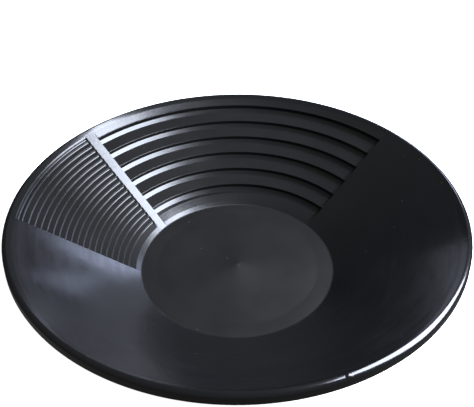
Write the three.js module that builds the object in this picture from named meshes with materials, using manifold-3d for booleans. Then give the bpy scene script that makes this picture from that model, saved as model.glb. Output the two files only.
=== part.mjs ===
// Gold pan: a shallow round pan, moulded in one piece in black polypropylene.
// Millimetres, +Z up. The flat underside of the floor lies on z = 0 and the
// axis of the pan is the Z axis. Azimuths are measured from +X towards +Y.
//
// The moulding is built as its named regions, each one a closed solid:
//   pan_floor          flat round bottom with the moulding gate mark at its centre
//   smooth_wall        the plain part of the sloping wall
//   coarse_riffle_1..6 the six large steps, numbered from the rim downwards
//   riffle_divider     the plain strip between the coarse and the fine steps
//   fine_riffle_wall   the sector with twenty small steps
//   rim                rounded lip with a skirt turned down outside
import * as THREE from 'three';
import { mergeVertices } from 'three/addons/utils/BufferGeometryUtils.js';
import Module from 'manifold-3d';

const wasm = await Module();
wasm.setup();

// ---------- driving dimensions ----------
const panDiameter = 356;        // over the skirt of the rim
const depth = 63.79;            // from the plane of the rim down to the floor inside
const wallAngleDeg = 34.1;      // slope of the wall from the horizontal
const thickness = 2.8;          // floor and wall
const gap = 0.3;                // clearance between neighbouring regions
const segments = 144;           // facets round the full circle

// rim
const beadInner = 0.8;          // rounding between the wall and the top of the rim
const beadTop = 5.5;            // the top itself is rounded only a little
const beadOuter = 1.2;          // rounding between the top and the skirt
const beadFromDeg = 10;         // tilt of the top where it begins on the inner side
const beadToDeg = 45;           // and where it ends on the outer side
const skirtDrop = 8;            // height of the turned down skirt
const skirtFlare = 0.3;         // the skirt leans outwards by this much
const skirtThickness = 2.4;
const rimBand = 3.48;           // plain band of wall that belongs to the rim
const pipAzimuthDeg = 292;      // small raised pip on top of the rim
const pipRadius = 2.2;
const pipHeight = 0.7;
const pipOut = 1.6;             // the pip sits this far outside the crest

// coarse riffles
const coarseCount = 6;
const coarsePitch = 13.43;      // horizontal distance from one riser to the next
const coarseStart = 5.95;       // from the band of the rim to the first riser
const coarseRiser = 3;           // upright face under each crest
const coarseFacet = 2.75;       // steep face at the foot of the riser, as wide as high
const coarseRecess = 0.5;       // crests lie this much under the plain wall
const coarseLevel = 2.8;        // level part of the lowest ledge, next to its facet
const coarseEndDeg = 37.9;      // azimuth of the far end of the coarse sector

// fine riffles
const fineCount = 20;
const finePitch = 4.267;
const fineTopPitch = 2.7;       // the first two risers are closer together
const fineStart = 1.25;         // from the band of the rim to the first riser
const fineRiser = 1.2;
const fineFacet = 0.5;
const fineRecess = 0.3;
const fineEndDeg = 182.6;       // direction of the edge between fine and smooth wall
const fineEndOffset = 5.27;     // distance of that edge from the axis of the pan

// plain strip between the two riffled sectors
const dividerDeg = 138.93;      // direction in which the strip runs outwards
const dividerOffset = 7.9;      // distance of its centre line from the axis
const dividerWidth = 5.4;       // where it would pass the axis
const dividerSpreadDeg = 1.15;  // it widens outwards by this angle

// plain band left between the lowest steps and the floor
const footBand = 4.1;

// moulding gate mark in the middle of the floor
const gateRadius = 3;
const gateHeight = 0.35;

// ---------- derived dimensions ----------
const slope = Math.tan(THREE.MathUtils.degToRad(wallAngleDeg));
const slant = Math.sqrt(1 + slope * slope);
const height = thickness + depth;
const skirtRadius = panDiameter / 2;
const beadFrom = THREE.MathUtils.degToRad(beadFromDeg);
const beadTo = THREE.MathUtils.degToRad(beadToDeg);
const crestWidth =
  beadInner * Math.sin(beadFrom) +
  beadTop * (Math.sin(beadTo) - Math.sin(beadFrom)) +
  beadOuter * (1 - Math.sin(beadTo));
const crestRadius = skirtRadius - skirtFlare - crestWidth;
const lipRadius = crestRadius - beadInner * (slant - 1) / slope;
const floorRadius = lipRadius - depth / slope;
const rimJoint = lipRadius - rimBand;
const shiftOut = thickness * slope / slant;
const shiftDown = thickness / slant;
const wallDrop = thickness * slant;

// height of the inner face of the plain wall at a radius
function inner(r) {
  return height + (r - lipRadius) * slope;
}

// height of the outer face of the plain wall at a radius
function outer(r) {
  return inner(r) - wallDrop;
}

// ---------- geometry helpers ----------
// closed solid of manifold-3d from a three.js geometry
function solid(geometry) {
  const bare = geometry.clone();
  bare.deleteAttribute('normal');
  bare.deleteAttribute('uv');
  const merged = mergeVertices(bare, 1e-4);
  const vertProperties = new Float32Array(merged.attributes.position.array);
  const source = merged.index.array;
  const kept = [];
  for (let i = 0; i < source.length; i += 3) {
    const a = source[i];
    const b = source[i + 1];
    const c = source[i + 2];
    if (a !== b && b !== c && c !== a) {
      kept.push(a, b, c);
    }
  }
  const triVerts = new Uint32Array(kept);
  return new wasm.Manifold(new wasm.Mesh({ numProp: 3, vertProperties, triVerts }));
}

// full ring or disc turned about the Z axis from a list of [radius, height];
// the list runs anticlockwise when radius points right and height points up
function turned(points) {
  const profile = points.map(([r, z]) => new THREE.Vector2(r, z));
  const onAxis = points[0][0] === 0 && points[points.length - 1][0] === 0;
  if (!onAxis) {
    profile.push(profile[0].clone());
  }
  const geometry = new THREE.LatheGeometry(profile, segments);
  geometry.rotateX(Math.PI / 2);
  return solid(geometry);
}

// point at a distance along a line that runs outwards in a direction and
// passes the axis at an offset to its left
function onLine(line, distance) {
  const a = THREE.MathUtils.degToRad(line.deg);
  const x = distance * Math.cos(a) - line.offset * Math.sin(a);
  const y = distance * Math.sin(a) + line.offset * Math.cos(a);
  return new THREE.Vector2(x, y);
}

// upright prism over the sector from one line anticlockwise to another
function sector(from, to) {
  const near = floorRadius / 2;
  const far = skirtRadius * 1.3;
  const corners = [onLine(from, near), onLine(from, far)];
  const span = (to.deg - from.deg + 360) % 360;
  const steps = Math.max(1, Math.ceil(span / 40));
  for (let i = 1; i < steps; i += 1) {
    const a = THREE.MathUtils.degToRad(from.deg + span * i / steps);
    corners.push(new THREE.Vector2(far * Math.cos(a), far * Math.sin(a)));
  }
  corners.push(onLine(to, far), onLine(to, near));
  const shape = new THREE.Shape(corners);
  const options = { depth: height * 2, bevelEnabled: false, steps: 1 };
  const geometry = new THREE.ExtrudeGeometry(shape, options);
  geometry.translate(0, 0, -height / 2);
  return solid(geometry);
}

// edge line moved sideways, to leave half of the gap on each side of it
function moved(line, distance) {
  return { deg: line.deg, offset: line.offset + distance };
}

const coarseEnd = { deg: coarseEndDeg, offset: 0 };
const dividerRight = {
  deg: dividerDeg - dividerSpreadDeg / 2,
  offset: dividerOffset - dividerWidth / 2,
};
const dividerLeft = {
  deg: dividerDeg + dividerSpreadDeg / 2,
  offset: dividerOffset + dividerWidth / 2,
};
const fineEnd = { deg: fineEndDeg, offset: fineEndOffset };

// region of a turned solid between two edge lines
function between(ring, from, to) {
  return ring.intersect(sector(moved(from, gap / 2), moved(to, -gap / 2)));
}

// ---------- plain wall ----------
const wallTop = rimJoint - gap / 2;
const wallFoot = floorRadius + gap / 2;
const outerFoot = lipRadius - (height - wallDrop) / slope;

// inner corner points are listed from the rim downwards, the closed profile
// then comes back up along the outer face
function wallRing(innerPoints) {
  const down = innerPoints.slice();
  const back = [
    [wallFoot, 0],
    [outerFoot, 0],
    [wallTop, outer(wallTop)],
  ];
  return turned([...down, ...back]);
}

const plainRing = wallRing([
  [wallTop, inner(wallTop)],
  [wallFoot, inner(wallFoot)],
]);

// ---------- steps ----------
// inner corner points of a stair of riffles from the top crest to the foot
function stair(count, pitch, topPitch, first, riser, facet, recess) {
  const steps = [];
  for (let i = 0; i < count; i += 1) {
    const r = i === 0 ? first : first - topPitch - (i - 1) * pitch;
    const crest = inner(r) - recess;
    const foot = crest - riser - facet;
    steps.push([[r, crest], [r, crest - riser], [r - facet, foot]]);
  }
  return steps;
}

const firstCoarse = rimJoint - coarseStart;
const coarse = stair(
  coarseCount,
  coarsePitch,
  coarsePitch,
  firstCoarse,
  coarseRiser,
  coarseFacet,
  coarseRecess,
);
const firstFine = rimJoint - fineStart;
const fine = stair(
  fineCount,
  finePitch,
  fineTopPitch,
  firstFine,
  fineRiser,
  fineFacet,
  fineRecess,
);
const bandTop = floorRadius + footBand;

// strip of constant wall thickness that follows inner corner points
function followingRing(points) {
  const back = points.map(([r, z]) => [r + shiftOut, z - shiftDown]).reverse();
  return turned([...points, ...back]);
}

const coarseSolids = coarse.map((step, i) => {
  const points = step.slice();
  if (i === 0) {
    // the plain band above the first riser has no recess
    points[0] = [firstCoarse, inner(firstCoarse)];
    points.unshift([wallTop - shiftOut, inner(wallTop - shiftOut)]);
  }
  if (i + 1 < coarseCount) {
    const next = coarse[i + 1][0];
    const last = step[2];
    const side = gap * slant;
    const fall = (last[1] - next[1]) / (last[0] - next[0]);
    points.push([next[0] + side, next[1] + side * fall]);
    return followingRing(points);
  }
  // the lowest ledge starts level and runs on over the plain band to the floor
  points.push([step[2][0] - coarseLevel, step[2][1]]);
  points.push([bandTop, inner(bandTop) - coarseRecess]);
  points.push([wallFoot, inner(wallFoot)]);
  const back = [
    [wallFoot, 0],
    [outerFoot, 0],
    [bandTop + shiftOut, outer(bandTop + shiftOut)],
    [step[2][0] + shiftOut, step[2][1] - shiftDown],
    [step[1][0] + shiftOut, step[1][1] - shiftDown],
    [step[0][0] + shiftOut, step[0][1] - shiftDown],
  ];
  return turned([...points, ...back]);
});

const finePoints = [[wallTop, inner(wallTop)]];
for (const step of fine) {
  finePoints.push(...step);
}
finePoints.push([bandTop, inner(bandTop)]);
finePoints.push([wallFoot, inner(wallFoot)]);
const fineRing = wallRing(finePoints);

// ---------- rim ----------
const rimInner = rimJoint + gap / 2;
// rounded top from the skirt over the crest to the wall, as arcs of one
// tilt after another; each is listed from its greater tilt to its smaller one
const bead = [];
function arc(radius, r, z, from, to, steps) {
  for (let i = bead.length ? 1 : 0; i <= steps; i += 1) {
    const tilt = from + (to - from) * i / steps;
    bead.push([r + radius * Math.sin(tilt), z + radius * Math.cos(tilt)]);
  }
}
const innerZ = height - beadInner;
const topR = crestRadius - (beadTop - beadInner) * Math.sin(beadFrom);
const topZ = innerZ - (beadTop - beadInner) * Math.cos(beadFrom);
const outerR = topR + (beadTop - beadOuter) * Math.sin(beadTo);
const outerZ = topZ + (beadTop - beadOuter) * Math.cos(beadTo);
arc(beadOuter, outerR, outerZ, Math.PI / 2, beadTo, 3);
arc(beadTop, topR, topZ, beadTo, beadFrom, 4);
arc(beadInner, crestRadius, innerZ, beadFrom, -Math.atan(slope), 3);
const skirtInner = skirtRadius - skirtThickness;
const underLip = skirtInner - skirtFlare;
let rim = turned([
  [rimInner, outer(rimInner)],
  [underLip, outer(underLip)],
  [skirtInner, height - skirtDrop],
  [skirtRadius, height - skirtDrop],
  ...bead,
  [rimInner, inner(rimInner)],
]);

// low rounded pip joined to the top of the rim
const pipBall = (pipRadius * pipRadius + pipHeight * pipHeight) / (2 * pipHeight);
const ball = new THREE.SphereGeometry(pipBall, 40, 28);
const pipAngle = THREE.MathUtils.degToRad(pipAzimuthDeg);
const pipX = (crestRadius + pipOut) * Math.cos(pipAngle);
const pipY = (crestRadius + pipOut) * Math.sin(pipAngle);
ball.translate(pipX, pipY, height + pipHeight / 2 - pipBall);
const post = new THREE.CylinderGeometry(pipRadius * 0.8, pipRadius * 0.8, 4, 28);
post.rotateX(Math.PI / 2);
post.translate(pipX, pipY, height);
rim = rim.add(solid(ball).intersect(solid(post)));

// ---------- floor ----------
const floorEdge = floorRadius - gap / 2;
const gateBall = (gateRadius * gateRadius + gateHeight * gateHeight) / (2 * gateHeight);
const gate = [];
for (let i = 0; i <= 4; i += 1) {
  const r = gateRadius * (4 - i) / 4;
  gate.push([r, thickness + gateHeight - gateBall + Math.sqrt(gateBall * gateBall - r * r)]);
}
const floor = turned([
  [0, 0],
  [floorEdge, 0],
  [floorEdge, thickness],
  ...gate,
]);

// ---------- assembly ----------
const group = new THREE.Group();
group.name = 'gold_pan';

// one named mesh with its own material from a finished solid
function node(name, body, roughness) {
  const mesh = body.getMesh();
  const geometry = new THREE.BufferGeometry();
  const positions = new Float32Array(mesh.vertProperties);
  geometry.setAttribute('position', new THREE.BufferAttribute(positions, 3));
  geometry.setIndex(new THREE.BufferAttribute(new Uint32Array(mesh.triVerts), 1));
  geometry.computeVertexNormals();
  const colour = new THREE.Color(0x1b1c1e);
  const material = new THREE.MeshStandardMaterial({ color: colour, roughness, metalness: 0 });
  material.name = 'black_polypropylene';
  const part = new THREE.Mesh(geometry, material);
  part.name = name;
  group.add(part);
}

node('pan_floor', floor, 0.55);
node('smooth_wall', between(plainRing, fineEnd, coarseEnd), 0.35);
coarseSolids.forEach((body, i) => {
  node(`coarse_riffle_${i + 1}`, between(body, coarseEnd, dividerRight), 0.4);
});
node('riffle_divider', between(plainRing, dividerRight, dividerLeft), 0.35);
node('fine_riffle_wall', between(fineRing, dividerLeft, fineEnd), 0.4);
node('rim', rim, 0.35);

export default group;
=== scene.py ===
"""Gold pan: one moulding of black polypropylene on a pale studio floor.

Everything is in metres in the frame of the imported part, with +Z up and the
axis of the pan on the Z axis. The sizes of the pan are written in millimetres,
those of the studio in metres.
"""

import math

import bmesh
import bpy
from mathutils import Euler, Matrix


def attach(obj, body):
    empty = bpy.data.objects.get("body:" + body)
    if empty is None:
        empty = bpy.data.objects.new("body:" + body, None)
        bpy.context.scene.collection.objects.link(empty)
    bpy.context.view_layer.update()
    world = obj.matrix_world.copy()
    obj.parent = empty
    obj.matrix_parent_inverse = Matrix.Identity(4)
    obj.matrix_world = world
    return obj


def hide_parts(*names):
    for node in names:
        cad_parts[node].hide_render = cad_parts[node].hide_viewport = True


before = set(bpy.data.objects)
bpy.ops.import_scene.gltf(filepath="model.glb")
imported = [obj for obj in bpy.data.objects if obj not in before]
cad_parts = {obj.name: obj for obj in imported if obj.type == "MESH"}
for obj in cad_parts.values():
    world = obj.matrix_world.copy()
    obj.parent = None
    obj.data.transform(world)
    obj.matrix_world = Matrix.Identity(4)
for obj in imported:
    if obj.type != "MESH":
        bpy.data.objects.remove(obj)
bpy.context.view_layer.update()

MM = 0.001

# ---------- sizes of the moulding, in millimetres ----------
DEPTH = 63.79
THICKNESS = 2.8
SLOPE = math.tan(math.radians(34.1))
SLANT = math.sqrt(1 + SLOPE**2)
HEIGHT = THICKNESS + DEPTH
SKIRT_RADIUS = 178.0  # outside of the skirt at its lower edge
BEAD_INNER = 0.8  # rounding between the wall and the top of the rim
BEAD_TOP = 5.5  # the top itself is rounded only a little
BEAD_OUTER = 1.2  # rounding between the top and the skirt
BEAD_FROM = math.radians(10)  # tilt of the top where it begins on the inner side
BEAD_TO = math.radians(45)  # and where it ends on the outer side
SKIRT_DROP = 8.0
SKIRT_FLARE = 0.3
SKIRT_THICKNESS = 2.4
SKIRT_EDGE = 0.5  # chamfer of its lower edge
SKIRT_TUCK = 0.02  # it stays this far inside its largest radius above the chamfer
RIM_BAND = 3.48  # band of plain wall that belongs to the rim
CREST_WIDTH = (
    BEAD_INNER * math.sin(BEAD_FROM)
    + BEAD_TOP * (math.sin(BEAD_TO) - math.sin(BEAD_FROM))
    + BEAD_OUTER * (1 - math.sin(BEAD_TO))
)
CREST_RADIUS = SKIRT_RADIUS - SKIRT_FLARE - CREST_WIDTH
LIP_RADIUS = CREST_RADIUS - BEAD_INNER * (SLANT - 1) / SLOPE
FLOOR_RADIUS = LIP_RADIUS - DEPTH / SLOPE
RIM_JOINT = LIP_RADIUS - RIM_BAND
SHIFT_OUT = THICKNESS * SLOPE / SLANT  # from the inner face square to the underside
SHIFT_DOWN = THICKNESS / SLANT
WALL_DROP = THICKNESS * SLANT  # straight down from the inner face to the underside
# the radius on the inner face from which the underside comes down to the ground
UNDER_CORNER = LIP_RADIUS - (HEIGHT - WALL_DROP) / SLOPE - SHIFT_OUT
FOOT_BAND = 4.1  # width of the band between the riffles and the floor
PIP_AZIMUTH = math.radians(292)
PIP_RADIUS = 2.2
PIP_HEIGHT = 0.5
PIP_OUT = 1.6  # the pip sits this far outside the crest
PIP_TURNS = 12  # fine turns of the rim on either side of the pip
PIP_TURN = 0.1  # degrees in each
WIDE_TURNS = 356  # turns in the rest of the rim
GATE_RADIUS = 3.0  # low dome in the middle of the floor, where the plastic came in
GATE_HEIGHT = 0.35
GATE_RINGS = 4
FLOOR_FILLET = 2.5
# radius and depth of a shallow dish near the edge of the floor
FLOOR_DISH = ((69.0, 0.0), (68.2, 0.07), (67.4, 0.1), (64.0, 0.1), (40.0, 0.0))
WALL_ROWS = 12
SEAM_ROUNDING = 0.2  # at the ends of a plain sector, which has no steps to run out
LEVEL_BEND = 2.0  # where a level ledge turns down to the foot
STEP_SUPPORT = 0.25  # points beside a rounding keep the face beyond it flat
SHARP = math.radians(30)  # edges that bend less are shaded smooth

# edges between the regions of the wall: the direction in which each one runs
# outwards and its distance from the axis of the pan
COARSE_END = (math.radians(37.9), 0.0)
DIVIDER_RIGHT = (math.radians(138.355), 5.2)
DIVIDER_LEFT = (math.radians(139.505), 10.6)
FINE_END = (math.radians(182.6), 5.27)


def inner(radius):
    """Height of the plain wall's inner face."""
    return HEIGHT + (radius - LIP_RADIUS) * SLOPE


# ---------- node trees ----------
def node(tree, kind, inputs=None, **settings):
    """Adds a node, sets its properties, and fills its inputs with values or links."""
    made = tree.nodes.new(kind)
    for key, value in settings.items():
        setattr(made, key, value)
    for key, value in (inputs or {}).items():
        if isinstance(value, bpy.types.NodeSocket):
            tree.links.new(value, made.inputs[key])
        else:
            made.inputs[key].default_value = value
    return made


def linear(text):
    """sRGB hex to the linear colour that Blender works in."""
    parts = [int(text[i : i + 2], 16) / 255 for i in (1, 3, 5)]
    return (*[c / 12.92 if c <= 0.04045 else ((c + 0.055) / 1.055) ** 2.4 for c in parts], 1.0)


# ---------- the plastic, with lengths in millimetres ----------
CLOUD_WIDTH = 1000 / 22  # patches, 22 to the metre, where handling has lowered the gloss
STREAK_WIDTH = 4.0  # streaks of sliding gravel, which run round the axis
STREAK_LENGTH = 40.0  # at the radius of 120
WAVE_HEIGHT = 0.3  # range of the noise, of which the skin shows about a third
DUST_SPACING = 12.0
DUST_CORE = 0.24  # a speck is whole up to this radius
DUST_EDGE = 0.42  # and ends at this one

# in the tables of sums each row names a value and says how it comes from two
# others, which are names of earlier values or plain numbers
POLAR_SUMS = (
    ("x square", "MULTIPLY", "x", "x"),
    ("y square", "MULTIPLY", "y", "y"),
    ("square", "ADD", "x square", "y square"),
    ("radius", "SQRT", "square", 0),
    ("turn", "ARCTAN2", "y", "x"),
    ("along", "MULTIPLY", "turn", 120 / STREAK_LENGTH),
    ("across", "MULTIPLY", "radius", 1 / (STREAK_WIDTH * MM)),
)


def moulded_plastic(name, colour, roughness, spread, wear, grain, depth, dust):
    """Black polypropylene with patches, streaks, grain and dust.

    Handling leaves cloudy patches where the gloss is a little lower, by spread.
    Sliding gravel leaves streaks, and wear says how much they dull the plastic.
    The grain of the mould is given by its width and its depth, and is drawn
    coarser than the real one so that it shows. Cooling leaves the skin wavy by a
    tenth of a millimetre. Specks of dust cover the plastic by the share dust.
    """
    material = bpy.data.materials.new(name)
    material.use_nodes = True
    tree = material.node_tree
    tree.nodes.clear()
    place = node(tree, "ShaderNodeTexCoord").outputs["Object"]
    patches = {"Vector": place, "Scale": 1 / (CLOUD_WIDTH * MM), "Detail": 5.0}
    cloud = node(tree, "ShaderNodeTexNoise", patches)
    apart = node(tree, "ShaderNodeSeparateXYZ", {0: place})
    known = {"x": apart.outputs[0], "y": apart.outputs[1], "cloud": cloud.outputs["Fac"]}
    for result, operation, first, second in POLAR_SUMS:
        terms = {0: known.get(first, first), 1: known.get(second, second)}
        known[result] = node(tree, "ShaderNodeMath", terms, operation=operation, label=result).outputs[0]
    polar = node(tree, "ShaderNodeCombineXYZ", {0: known["along"], 1: known["across"]})
    streak = node(tree, "ShaderNodeTexNoise", {"Vector": polar.outputs[0], "Scale": 1.0, "Detail": 4.0})
    fine = node(tree, "ShaderNodeTexNoise", {"Vector": place, "Scale": 1 / (grain * MM), "Detail": 2.0})
    known.update(streak=streak.outputs["Fac"], fine=fine.outputs["Fac"])
    for result, operation, first, second in (
        ("patch", "MULTIPLY", "cloud", 4 * spread),
        ("worn", "MULTIPLY", "streak", 4 * wear),
        ("both", "ADD", "patch", "worn"),
        ("rough", "ADD", "both", roughness - 2 * spread - 2 * wear),
        ("wave", "MULTIPLY", "cloud", WAVE_HEIGHT / depth),
        ("relief", "ADD", "fine", "wave"),
    ):
        terms = {0: known.get(first, first), 1: known.get(second, second)}
        known[result] = node(tree, "ShaderNodeMath", terms, operation=operation, label=result).outputs[0]
    tones = {0: known["cloud"], 6: linear(colour[0]), 7: linear(colour[1])}
    shade = node(tree, "ShaderNodeMix", tones, data_type="RGBA")
    cells = node(tree, "ShaderNodeTexVoronoi", {"Vector": place, "Scale": 1 / (DUST_SPACING * MM)})
    edge = {
        "Value": cells.outputs["Distance"],
        "From Min": DUST_CORE / DUST_SPACING,
        "From Max": DUST_EDGE / DUST_SPACING,
        "To Min": dust,
        "To Max": 0.0,
    }
    speck = node(tree, "ShaderNodeMapRange", edge)
    tones = {0: speck.outputs[0], 6: shade.outputs[2], 7: linear("#8f8f8c")}
    dusty = node(tree, "ShaderNodeMix", tones, data_type="RGBA")
    bump = node(tree, "ShaderNodeBump", {"Height": known["relief"], "Distance": depth * MM, "Strength": 1.0})
    skin = node(
        tree,
        "ShaderNodeBsdfPrincipled",
        {"Base Color": dusty.outputs[2], "Roughness": known["rough"], "IOR": 1.49, "Normal": bump.outputs[0]},
    )
    node(tree, "ShaderNodeOutputMaterial", {"Surface": skin.outputs[0]})
    return material


# the mould is spark eroded at the floor, so the plastic is evenly dull there
matte = moulded_plastic(
    "spark_textured_polypropylene",
    ("#0d0d0d", "#121211"),
    roughness=0.38,
    spread=0.04, wear=0.01, grain=0.5, depth=0.05, dust=0.5,
)
# the mould is milled and only wiped down at the coarse riffles: soft gloss, a trace of grain
satin = moulded_plastic(
    "moulded_polypropylene",
    ("#121212", "#161616"),
    roughness=0.24,
    spread=0.03, wear=0.02, grain=0.8, depth=0.01, dust=0.25,
)
# the narrow faces of the fine riffles are a little duller
dull = moulded_plastic(
    "fine_riffle_polypropylene",
    ("#0f0f0f", "#131313"),
    roughness=0.28,
    spread=0.02, wear=0.01, grain=0.8, depth=0.01, dust=0.25,
)
# the plain wall is smoother, and worn by gravel sliding round it
sleek = moulded_plastic(
    "worn_smooth_polypropylene",
    ("#0e0e0f", "#131314"),
    roughness=0.2,
    spread=0.04, wear=0.05, grain=0.9, depth=0.006, dust=0.35,
)
# the mould is polished at the rim, which gives thin clear highlights
gloss = moulded_plastic(
    "polished_rim_polypropylene",
    ("#0e0e0f", "#121213"),
    roughness=0.15,
    spread=0.02, wear=0.0, grain=0.8, depth=0.003, dust=0.2,
)


# ---------- wall sectors by geometry nodes ----------
WALL_INPUTS = (
    ("Head Points", "NodeSocketInt"),
    ("Step Points", "NodeSocketInt"),
    ("Count", "NodeSocketInt"),
    ("Sweep Rows", "NodeSocketInt"),
    ("Edge Rows", "NodeSocketInt"),
    ("Pitch", "NodeSocketFloat"),
    ("First Crest", "NodeSocketFloat"),
    ("First Lift", "NodeSocketFloat"),
    ("Right Direction", "NodeSocketFloat"),
    ("Right Offset", "NodeSocketFloat"),
    ("Right Rounding", "NodeSocketFloat"),
    ("Left Direction", "NodeSocketFloat"),
    ("Left Offset", "NodeSocketFloat"),
    ("Left Rounding", "NodeSocketFloat"),
    ("Lip Radius", "NodeSocketFloat"),
    ("Lip Height", "NodeSocketFloat"),
    ("Slope", "NodeSocketFloat"),
    ("Shift Out", "NodeSocketFloat"),
    ("Shift Down", "NodeSocketFloat"),
    ("Underside Follows", "NodeSocketFloat"),
    ("Material", "NodeSocketMaterial"),
)

# which row and column of the sheet a point is in, and which point of which step
WALL_SUMS = (
    ("spare", "SUBTRACT", "Count", 1),
    ("repeats", "MULTIPLY", "Step Points", "spare"),
    ("rows", "ADD", "points", "repeats"),
    ("last row", "SUBTRACT", "rows", 1),
    ("last column", "SUBTRACT", "Sweep Rows", 1),
    ("along", "ADD", "x", 0.5),
    ("row exact", "MULTIPLY", "along", "last row"),
    ("row", "ROUND", "row exact", 0),
    ("around", "ADD", "y", 0.5),
    ("column exact", "MULTIPLY", "around", "last column"),
    ("column", "ROUND", "column exact", 0),
    ("past head", "SUBTRACT", "row", "Head Points"),
    ("steps down", "DIVIDE", "past head", "Step Points"),
    ("whole steps", "FLOOR", "steps down", 0),
    ("steps kept", "MAXIMUM", "whole steps", 0),
    ("step", "MINIMUM", "steps kept", "spare"),
    ("skipped", "MULTIPLY", "step", "Step Points"),
    ("point", "SUBTRACT", "row", "skipped"),
)
# where that point goes: out from the axis, round it and up
WALL_SHAPE = (
    ("fall", "MULTIPLY", "Pitch", "step"),
    ("crest", "SUBTRACT", "First Crest", "fall"),
    ("radius", "ADD", "crest", "in"),
    ("later", "MINIMUM", "step", 1),
    ("first", "SUBTRACT", 1, "later"),
    ("flagged", "MULTIPLY", "first", "flag"),
    ("lift", "MULTIPLY", "flagged", "First Lift"),
    ("depth", "SUBTRACT", "deep", "lift"),
    ("right ratio", "DIVIDE", "Right Offset", "radius"),
    ("right turn", "ARCSINE", "right ratio", 0),
    ("right edge", "ADD", "Right Direction", "right turn"),
    ("left ratio", "DIVIDE", "Left Offset", "radius"),
    ("left turn", "ARCSINE", "left ratio", 0),
    ("left edge", "ADD", "Left Direction", "left turn"),
    ("right round", "DIVIDE", "Right Rounding", "radius"),
    ("left round", "DIVIDE", "Left Rounding", "radius"),
    ("plain from", "ADD", "right edge", "right round"),
    ("plain to", "SUBTRACT", "left edge", "left round"),
    ("plain span", "SUBTRACT", "plain to", "plain from"),
    ("from right", "DIVIDE", "column", "Edge Rows"),
    ("right part", "MINIMUM", "from right", 1),
    ("columns left", "SUBTRACT", "last column", "column"),
    ("from left", "DIVIDE", "columns left", "Edge Rows"),
    ("left part", "MINIMUM", "from left", 1),
    ("both edges", "MULTIPLY", "Edge Rows", 2),
    ("plain columns", "SUBTRACT", "last column", "both edges"),
    ("plain column", "SUBTRACT", "column", "Edge Rows"),
    ("share", "DIVIDE", "plain column", "plain columns"),
    ("share low", "MAXIMUM", "share", 0),
    ("share kept", "MINIMUM", "share low", 1),
    ("swept", "MULTIPLY", "plain span", "share kept"),
    ("plain turn", "ADD", "plain from", "swept"),
    ("right short", "SUBTRACT", 1, "right part"),
    ("right back", "MULTIPLY", "right short", "right round"),
    ("left short", "SUBTRACT", 1, "left part"),
    ("left on", "MULTIPLY", "left short", "left round"),
    ("turn less", "SUBTRACT", "plain turn", "right back"),
    ("turn", "ADD", "turn less", "left on"),
    ("edge part", "MINIMUM", "right part", "left part"),
    ("edge square", "MULTIPLY", "edge part", "edge part"),
    ("edge twice", "MULTIPLY", "edge part", 2),
    ("edge rest", "SUBTRACT", 3, "edge twice"),
    ("ease", "MULTIPLY", "edge square", "edge rest"),
    ("eased depth", "MULTIPLY", "depth", "ease"),
    ("under", "SUBTRACT", 1, "layer"),
    ("under plain", "SUBTRACT", 1, "Underside Follows"),
    ("flattened", "MULTIPLY", "under", "under plain"),
    ("kept depth part", "SUBTRACT", 1, "flattened"),
    ("kept depth", "MULTIPLY", "eased depth", "kept depth part"),
    ("beyond lip", "SUBTRACT", "radius", "Lip Radius"),
    ("climb", "MULTIPLY", "beyond lip", "Slope"),
    ("plain height", "ADD", "Lip Height", "climb"),
    ("face height", "SUBTRACT", "plain height", "kept depth"),
    ("drop", "MULTIPLY", "under", "Shift Down"),
    ("dropped", "SUBTRACT", "face height", "drop"),
    ("height", "MAXIMUM", "dropped", 0),
    ("out", "MULTIPLY", "under", "Shift Out"),
    ("reach", "ADD", "radius", "out"),
    ("cosine", "COSINE", "turn", 0),
    ("sine", "SINE", "turn", 0),
    ("place x", "MULTIPLY", "reach", "cosine"),
    ("place y", "MULTIPLY", "reach", "sine"),
)


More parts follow.
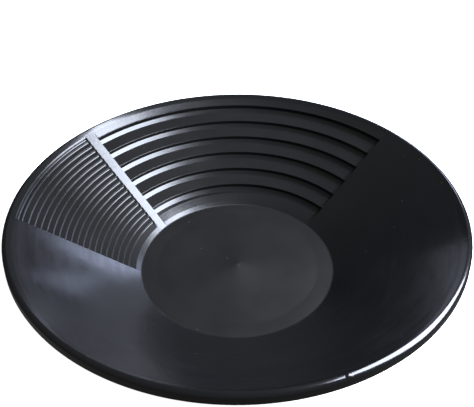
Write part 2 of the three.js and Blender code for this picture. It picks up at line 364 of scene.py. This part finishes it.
def wall_sector_tree():
    """Repeats the steps of a profile down the wall and sweeps it round the axis.

    The input mesh is a strip of points for one step: x is the distance out from
    the crest, y is 1 on a crest, z is the depth under the plain wall. The points
    before and after the step points are used once, at the rim and at the floor.
    Over the edge rows on both sides the depth eases to nothing, which rounds the
    ends of the steps. The underside follows the steps in full at 1, not at all at 0.
    """
    tree = bpy.data.node_groups.new("wall_sector", "GeometryNodeTree")
    tree.interface.new_socket("Profile", in_out="INPUT", socket_type="NodeSocketGeometry")
    for name, kind in WALL_INPUTS:
        tree.interface.new_socket(name, in_out="INPUT", socket_type=kind)
    tree.interface.new_socket("Wall", in_out="OUTPUT", socket_type="NodeSocketGeometry")
    given = node(tree, "NodeGroupInput")
    known = {name: given.outputs[name] for name, _ in WALL_INPUTS}
    profile = given.outputs["Profile"]
    size = node(tree, "GeometryNodeAttributeDomainSize", {"Geometry": profile}, component="MESH")
    known["points"] = size.outputs["Point Count"]
    place = node(tree, "GeometryNodeInputPosition").outputs[0]
    apart = node(tree, "ShaderNodeSeparateXYZ", {0: place})
    known.update(x=apart.outputs[0], y=apart.outputs[1], layer=apart.outputs[2])
    for result, operation, first, second in WALL_SUMS:
        terms = {0: known.get(first, first), 1: known.get(second, second)}
        known[result] = node(tree, "ShaderNodeMath", terms, operation=operation, label=result).outputs[0]
    sample = node(
        tree,
        "GeometryNodeSampleIndex",
        {"Geometry": profile, "Value": place, "Index": known["point"]},
        data_type="FLOAT_VECTOR",
        domain="POINT",
    )
    spread = node(tree, "ShaderNodeSeparateXYZ", {0: sample.outputs[0]})
    known.update({"in": spread.outputs[0], "flag": spread.outputs[1], "deep": spread.outputs[2]})
    for result, operation, first, second in WALL_SHAPE:
        terms = {0: known.get(first, first), 1: known.get(second, second)}
        known[result] = node(tree, "ShaderNodeMath", terms, operation=operation, label=result).outputs[0]
    # a flat sheet is raised by one to a block: its top becomes the inner face, its bottom the underside
    sheet = node(
        tree,
        "GeometryNodeMeshGrid",
        {"Size X": 1.0, "Size Y": 1.0, "Vertices X": known["rows"], "Vertices Y": known["Sweep Rows"]},
    )
    raised = node(
        tree,
        "GeometryNodeExtrudeMesh",
        {"Mesh": sheet.outputs["Mesh"], "Offset": (0, 0, 1), "Offset Scale": 1.0, "Individual": False},
    )
    under = node(tree, "GeometryNodeFlipFaces", {"Mesh": sheet.outputs["Mesh"]})
    both = node(tree, "GeometryNodeJoinGeometry", {0: raised.outputs["Mesh"]})
    tree.links.new(under.outputs[0], both.inputs[0])
    block = node(tree, "GeometryNodeMergeByDistance", {"Geometry": both.outputs[0], "Distance": 1e-5})
    spot = node(tree, "ShaderNodeCombineXYZ", {0: known["place x"], 1: known["place y"], 2: known["height"]})
    bent = node(tree, "GeometryNodeSetPosition", {"Geometry": block.outputs[0], "Position": spot.outputs[0]})
    turned_out = node(tree, "GeometryNodeFlipFaces", {"Mesh": bent.outputs[0]})
    angle = node(tree, "GeometryNodeInputMeshEdgeAngle").outputs["Unsigned Angle"]
    soft = node(tree, "ShaderNodeMath", {0: angle, 1: SHARP}, operation="LESS_THAN")
    smooth = node(
        tree,
        "GeometryNodeSetShadeSmooth",
        {"Geometry": turned_out.outputs[0], "Shade Smooth": soft.outputs[0]},
        domain="EDGE",
    )
    whole = node(tree, "GeometryNodeRealizeInstances", {"Geometry": smooth.outputs[0]})
    finish = {"Geometry": whole.outputs[0], "Material": known["Material"]}
    dressed = node(tree, "GeometryNodeSetMaterial", finish)
    node(tree, "NodeGroupOutput", {"Wall": dressed.outputs[0]})
    return tree


wall_tree = wall_sector_tree()


def rounded(points, radii, parts):
    """Corner points of a profile with an arc at each corner that has a radius."""
    made = [points[0]]
    for before, corner, after, radius, count in zip(points, points[1:], points[2:], radii, parts):
        if radius == 0:
            made.append(corner)
            continue
        back = (before[0] - corner[0], before[1] - corner[1])
        on = (after[0] - corner[0], after[1] - corner[1])
        back_long, on_long = math.hypot(*back), math.hypot(*on)
        back = (back[0] / back_long, back[1] / back_long)
        on = (on[0] / on_long, on[1] / on_long)
        half = math.acos(max(-1, min(1, back[0] * on[0] + back[1] * on[1]))) / 2
        reach = radius / math.tan(half)
        middle = (back[0] + on[0], back[1] + on[1])
        middle_long = math.hypot(*middle)
        centre = (
            corner[0] + middle[0] / middle_long * radius / math.sin(half),
            corner[1] + middle[1] / middle_long * radius / math.sin(half),
        )
        start = (corner[0] + back[0] * reach, corner[1] + back[1] * reach)
        end = (corner[0] + on[0] * reach, corner[1] + on[1] * reach)
        a = math.atan2(start[1] - centre[1], start[0] - centre[0])
        b = math.atan2(end[1] - centre[1], end[0] - centre[0])
        sweep = (b - a + math.pi) % (2 * math.pi) - math.pi
        for i in range(count + 1):
            t = a + sweep * i / count
            made.append((centre[0] + radius * math.cos(t), centre[1] + radius * math.sin(t)))
    made.append(points[-1])
    return made


def wall_piece(name, strip, right, left, material, **inputs):
    """A closed piece of wall between two edges, from its profile strip in millimetres."""
    mesh = bpy.data.meshes.new(name + "_profile")
    mesh.from_pydata([(x * MM, flag, z * MM) for x, flag, z in strip], [], [])
    maker = bpy.data.objects.new(name + "_maker", mesh)
    bpy.context.scene.collection.objects.link(maker)
    modifier = maker.modifiers.new("wall", "NODES")
    modifier.node_group = wall_tree
    values = {
        "Right Direction": right[0],
        "Right Offset": right[1] * MM,
        "Left Direction": left[0],
        "Left Offset": left[1] * MM,
        "Lip Radius": LIP_RADIUS * MM,
        "Lip Height": HEIGHT * MM,
        "Slope": SLOPE,
        "Shift Out": SHIFT_OUT * MM,
        "Shift Down": SHIFT_DOWN * MM,
        "Material": material,
        "Head Points": 0,
        "Step Points": 1,
        "Count": 1,
        "Edge Rows": 1,
        "Pitch": 0.0,
        "First Lift": 0.0,
        "Right Rounding": SEAM_ROUNDING * MM,
        "Left Rounding": SEAM_ROUNDING * MM,
        "Underside Follows": 1.0,
        **inputs,
    }
    for item in wall_tree.interface.items_tree:
        if item.in_out == "INPUT" and item.name in values:
            modifier[item.identifier] = values[item.name]
    bpy.context.view_layer.update()
    evaluated = maker.evaluated_get(bpy.context.evaluated_depsgraph_get())
    made = bpy.data.meshes.new_from_object(evaluated)
    made.name = name
    piece = bpy.data.objects.new(name, made)
    bpy.context.scene.collection.objects.link(piece)
    bpy.data.objects.remove(maker)
    bpy.data.meshes.remove(mesh)
    return piece


def plain_strip():
    """Profile of the plain wall from the rim joint to the floor."""
    rows = [RIM_JOINT + (UNDER_CORNER - RIM_JOINT) * i / WALL_ROWS for i in range(WALL_ROWS + 1)]
    rows.append(FLOOR_RADIUS)
    return [(r - RIM_JOINT, 0, 0) for r in rows]


def riffle_strip(
    first, count, pitch, riser, facet, recess, radii, parts, foot_recess, foot_radius, level=0.0, top=0.0
):
    """Profile of one riffle with the band above it and the foot below it.

    Rounds the three corners of one step by the radii, with as many parts each,
    and gives head, step and tail points and the number of head and step points.
    A riffle that stands apart from the others by the distance top goes before
    them. Below the last riffle the ledge stays level over the distance level and
    then falls straight to the foot.
    """
    crest_fall = (pitch - facet, pitch * SLOPE - riser - facet)
    ledge = crest_fall[1] / crest_fall[0]
    support = STEP_SUPPORT + radii[0]
    corners = [
        (pitch - facet, crest_fall[1]),
        (0, 0),
        (0, -riser),
        (-facet, -riser - facet),
        (-pitch, -pitch * SLOPE),
    ]
    arc = rounded(corners, radii, parts)[1:-1]
    step = [(support, support * ledge), *arc, (-facet - support, -riser - facet - support * ledge)]
    crest_points = parts[0] + 2
    strip = [(x, 1 if i < crest_points else 0, x * SLOPE - z + recess) for i, (x, z) in enumerate(step)]
    head = [(RIM_JOINT - first, 0, 0)]
    if top:
        head += [(x + top, 0, depth) for x, _, depth in strip]
    last = first - (count - 1) * pitch
    band_top = FLOOR_RADIUS + FOOT_BAND
    foot_fall = strip[-1]
    band = (band_top - last, foot_recess)
    foot = [(foot_fall[0], foot_fall[2]), band, (FLOOR_RADIUS - last, 0)]
    bends = (foot_radius,)
    if level:
        foot.insert(1, (foot_fall[0] - level, foot_fall[2] - level * SLOPE))
        bends = (LEVEL_BEND, foot_radius)
    tail = [(x, 0, z) for x, z in rounded(foot, bends, (4,) * len(bends))[1:]]
    corner = (UNDER_CORNER - last, 0, band[1] * (UNDER_CORNER - FLOOR_RADIUS) / FOOT_BAND)
    tail = sorted([*tail, corner], key=lambda p: -p[0])
    return head + strip + tail, len(head), len(strip)


# ---------- pieces of the wall ----------
COARSE = dict(first=RIM_JOINT - 5.95, count=6, pitch=13.43, riser=3.0, facet=2.75, recess=0.5)
FINE = dict(first=RIM_JOINT - 3.95, count=19, pitch=4.267, riser=1.2, facet=0.5, recess=0.3)
FINE_TOP = 2.7  # the uppermost riffle is this much closer to the next one

smooth_wall = wall_piece(
    "smooth_wall_skin",
    plain_strip(),
    FINE_END,
    (COARSE_END[0] + 2 * math.pi, 0.0),
    sleek,
    **{"Sweep Rows": 220, "First Crest": RIM_JOINT * MM},
)
divider = wall_piece(
    "riffle_divider_skin",
    plain_strip(),
    DIVIDER_RIGHT,
    DIVIDER_LEFT,
    satin,
    **{"Sweep Rows": 12, "First Crest": RIM_JOINT * MM},
)
strip, head_points, step_points = riffle_strip(
    **COARSE, radii=(0.4, 0.3, 0.6), parts=(4, 3, 3), foot_recess=0.5, foot_radius=1.5, level=2.8
)
coarse_riffles = wall_piece(
    "coarse_riffles_skin",
    strip,
    COARSE_END,
    DIVIDER_RIGHT,
    satin,
    **{
        "Head Points": head_points,
        "Step Points": step_points,
        "Count": COARSE["count"],
        "Pitch": COARSE["pitch"] * MM,
        "First Crest": COARSE["first"] * MM,
        "First Lift": COARSE["recess"] * MM,
        "Sweep Rows": 120,
        "Edge Rows": 6,
        "Right Rounding": 4.0 * MM,
        "Left Rounding": 1.1 * MM,
    },
)
strip, head_points, step_points = riffle_strip(
    **FINE, radii=(0.25, 0.12, 0.2), parts=(3, 2, 2), foot_recess=0.0, foot_radius=0.8, top=FINE_TOP
)
fine_riffles = wall_piece(
    "fine_riffles_skin",
    strip,
    DIVIDER_LEFT,
    FINE_END,
    dull,
    **{
        "Head Points": head_points,
        "Step Points": step_points,
        "Count": FINE["count"],
        "Pitch": FINE["pitch"] * MM,
        "First Crest": FINE["first"] * MM,
        "Sweep Rows": 64,
        "Edge Rows": 5,
        "Right Rounding": 1.5 * MM,
        "Left Rounding": 0.9 * MM,
        "Underside Follows": 0.05,
    },
)


# ---------- turned pieces ----------
def turned(name, profile, material, closed, turns=360):
    """A piece turned about the axis from [radius, height] points in millimetres.

    The points run anticlockwise when radius points right and height points up.
    The turns are a number of equal parts of the circle or a list of azimuths.
    """
    bm = bmesh.new()
    azimuths = [2 * math.pi * i / turns for i in range(turns)] if isinstance(turns, int) else turns
    segments = len(azimuths)
    rings = []
    for r, z in profile:
        if r == 0:
            rings.append([bm.verts.new((0, 0, z * MM))])
            continue
        ring = []
        for a in azimuths:
            ring.append(bm.verts.new((r * MM * math.cos(a), r * MM * math.sin(a), z * MM)))
        rings.append(ring)
    pairs = list(zip(rings, rings[1:]))
    if closed:
        pairs.append((rings[-1], rings[0]))
    for low, high in pairs:
        for i in range(segments):
            j = (i + 1) % segments
            corners = [low[i % len(low)], low[j % len(low)], high[j % len(high)], high[i % len(high)]]
            bm.faces.new(list(dict.fromkeys(corners)))
    mesh = bpy.data.meshes.new(name)
    bm.to_mesh(mesh)
    bm.free()
    mesh.materials.append(material)
    mesh.shade_smooth()
    mesh.set_sharp_from_angle(angle=SHARP)
    piece = bpy.data.objects.new(name, mesh)
    bpy.context.scene.collection.objects.link(piece)
    return piece


# the top of the rim is made of three arcs, from the skirt inwards; each row gives
# the radius, the centre, the tilts between which it runs and the number of parts
bead = []
inner_z = HEIGHT - BEAD_INNER
top_r = CREST_RADIUS - (BEAD_TOP - BEAD_INNER) * math.sin(BEAD_FROM)
top_z = inner_z - (BEAD_TOP - BEAD_INNER) * math.cos(BEAD_FROM)
outer_r = top_r + (BEAD_TOP - BEAD_OUTER) * math.sin(BEAD_TO)
outer_z = top_z + (BEAD_TOP - BEAD_OUTER) * math.cos(BEAD_TO)
for radius, r, z, tilt_from, tilt_to, count in (
    (BEAD_OUTER, outer_r, outer_z, math.pi / 2, BEAD_TO, 4),
    (BEAD_TOP, top_r, top_z, BEAD_TO, BEAD_FROM, 10),
    (BEAD_INNER, CREST_RADIUS, inner_z, BEAD_FROM, -math.atan(SLOPE), 5),
):
    for i in range(1 if bead else 0, count + 1):
        tilt = tilt_from + (tilt_to - tilt_from) * i / count
        bead.append((r + radius * math.sin(tilt), z + radius * math.cos(tilt)))
skirt_inner = SKIRT_RADIUS - SKIRT_THICKNESS
under_lip = skirt_inner - SKIRT_FLARE
skirt_foot = HEIGHT - SKIRT_DROP
rim_profile = [
    (RIM_JOINT + SHIFT_OUT, inner(RIM_JOINT) - SHIFT_DOWN),
    (under_lip, inner(under_lip) - WALL_DROP),
    (skirt_inner, skirt_foot + SKIRT_EDGE),
    (skirt_inner + SKIRT_EDGE, skirt_foot),
    (SKIRT_RADIUS - SKIRT_EDGE, skirt_foot),
    (SKIRT_RADIUS - SKIRT_TUCK, skirt_foot + SKIRT_EDGE),
    *bead,
    (RIM_JOINT, inner(RIM_JOINT)),
]
# the rim has fine turns where the pip is raised out of its top, and turns of
# about one degree elsewhere
pip_reach = PIP_TURN * PIP_TURNS
near_pip = [PIP_AZIMUTH + math.radians(PIP_TURN) * i for i in range(-PIP_TURNS, PIP_TURNS + 1)]
wide_reach = 360 - 2 * pip_reach
far_from_pip = [
    PIP_AZIMUTH + math.radians(pip_reach + wide_reach * i / WIDE_TURNS) for i in range(1, WIDE_TURNS)
]
rim = turned("rim_skin", rim_profile, gloss, closed=True, turns=near_pip + far_from_pip)
pip_centre = CREST_RADIUS + PIP_OUT
pip_x, pip_y = pip_centre * math.cos(PIP_AZIMUTH), pip_centre * math.sin(PIP_AZIMUTH)
top_from = HEIGHT - 3  # below this the rim's underside and the foot of its skirt stay as they are
for vertex in rim.data.vertices:
    away = math.hypot(vertex.co.x / MM - pip_x, vertex.co.y / MM - pip_y)
    if vertex.co.z > top_from * MM and away < PIP_RADIUS:
        vertex.co.z += PIP_HEIGHT * MM * math.sqrt(1 - (away / PIP_RADIUS) ** 2)

gate = [
    (GATE_RADIUS * i / GATE_RINGS, THICKNESS + GATE_HEIGHT * (1 - (i / GATE_RINGS) ** 2))
    for i in range(GATE_RINGS, -1, -1)
]
floor_corner = [
    (FLOOR_RADIUS + 2, THICKNESS + 2 * SLOPE),
    (FLOOR_RADIUS, THICKNESS),
    (FLOOR_RADIUS - 2, THICKNESS),
]
floor_profile = [
    (0, 0),
    (FLOOR_RADIUS + SHIFT_OUT, 0),
    *rounded(floor_corner, (FLOOR_FILLET,), (6,))[1:-1],
    *[(r, THICKNESS - depth) for r, depth in FLOOR_DISH],
    *gate,
]
pan_floor = turned("pan_floor_skin", floor_profile, matte, closed=False)

for piece, nodes in (
    (smooth_wall, ["smooth_wall"]),
    (divider, ["riffle_divider"]),
    (coarse_riffles, [f"coarse_riffle_{i}" for i in range(1, 7)]),
    (fine_riffles, ["fine_riffle_wall"]),
    (rim, ["rim"]),
    (pan_floor, ["pan_floor"]),
):
    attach(piece, "root")
    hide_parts(*nodes)

# ---------- floor, light and camera ----------
STUDIO_WIDTH = 12
STUDIO_DROP = 0.0005  # the floor lies just under the pan
AIM_HEIGHT = 0.03  # the lights look at the axis of the pan at this height
CAMERA_PLACE = (0.0, -0.40965, 0.39007)
CAMERA_DOWN = 38.23  # degrees below the horizon
CAMERA_ROLL = -0.22
CAMERA_LENS = 50.83
BACK_AZIMUTH = math.radians(118)  # the darkest part of the room

bpy.ops.mesh.primitive_plane_add(size=STUDIO_WIDTH)
ground = bpy.context.object
ground.name = "studio_floor"
paper = bpy.data.materials.new("pale_paper")
paper.use_nodes = True
paper.node_tree.nodes.clear()
# paper that glows stays white all round the pan, and is kept from lighting it
paleness = {
    "Base Color": linear("#f4f4f4"),
    "Roughness": 0.9,
    "Emission Color": (1, 1, 1, 1),
    "Emission Strength": 1.0,
}
sheet = node(paper.node_tree, "ShaderNodeBsdfPrincipled", paleness)
node(paper.node_tree, "ShaderNodeOutputMaterial", {"Surface": sheet.outputs[0]})
ground.data.materials.append(paper)
ground.location.z = -STUDIO_DROP
ground.visible_glossy = False
ground.visible_diffuse = False


def softbox(name, azimuth, elevation, distance, size, power, colour, roll=0.0):
    """A rectangular soft light that looks at the pan from a direction; angles in degrees."""
    data = bpy.data.lights.new(name, "AREA")
    data.shape = "RECTANGLE"
    data.size, data.size_y = size
    data.energy = power
    data.color = linear(colour)[:3]
    light = bpy.data.objects.new(name, data)
    bpy.context.scene.collection.objects.link(light)
    a, e = math.radians(azimuth), math.radians(elevation)
    light.location = (
        distance * math.cos(a) * math.cos(e),
        distance * math.sin(a) * math.cos(e),
        distance * math.sin(e) + AIM_HEIGHT,
    )
    aim = Euler((math.pi / 2 - e, 0, a + math.pi / 2)).to_matrix()
    light.rotation_euler = (aim @ Matrix.Rotation(math.radians(roll), 3, "Z")).to_euler()


# the key light stands high on the right; the three strips behind the pan are
# faint and show as soft sheens in its wall
softbox("key_softbox", 5, 46.5, 1.6, (1.06, 1.26), 128.0, "#e6eeff")
softbox("left_wall_strip", 58, 20, 1.8, (0.5, 0.4), 4.6, "#cfdcff")
softbox("low_left_strip", 71, 8, 1.8, (0.5, 0.4), 1.6, "#cfdcff")
softbox("right_wall_strip", 95, 13, 1.8, (0.2, 0.9), 0.55, "#dfe6ff", roll=-45)

# the room is grey, and fades to a darker grey behind the pan: from 57 degrees
# off that direction, where the cosine is 0.55, to 18 degrees, where it is 0.95
world = bpy.data.worlds.new("studio")
bpy.context.scene.world = world
world.use_nodes = True
room = world.node_tree
room.nodes.clear()
towards = node(room, "ShaderNodeTexCoord").outputs["Generated"]
back = (math.cos(BACK_AZIMUTH), math.sin(BACK_AZIMUTH), 0)
facing = node(room, "ShaderNodeVectorMath", {0: towards, 1: back}, operation="DOT_PRODUCT")
fade = {"Value": facing.outputs["Value"], "From Min": 0.55, "From Max": 0.95}
share = node(room, "ShaderNodeMapRange", fade)
greys = {0: share.outputs[0], 6: linear("#6b6a69"), 7: linear("#3c3c3c")}
tone = node(room, "ShaderNodeMix", greys, data_type="RGBA")
grey = node(room, "ShaderNodeBackground", {"Color": tone.outputs[2], "Strength": 1.0})
node(room, "ShaderNodeOutputWorld", {"Surface": grey.outputs[0]})

lens = bpy.data.cameras.new("camera")
lens.lens = CAMERA_LENS
lens.sensor_width = 36.0
lens.clip_start = 0.01
camera = bpy.data.objects.new("camera", lens)
bpy.context.scene.collection.objects.link(camera)
camera.location = CAMERA_PLACE
tilt = Euler((math.radians(90 - CAMERA_DOWN), 0, 0)).to_matrix()
roll = Matrix.Rotation(math.radians(CAMERA_ROLL), 3, "Z")
camera.rotation_euler = (tilt @ roll).to_euler()
bpy.context.scene.camera = camera

bpy.context.scene.view_settings.view_transform = "Standard"
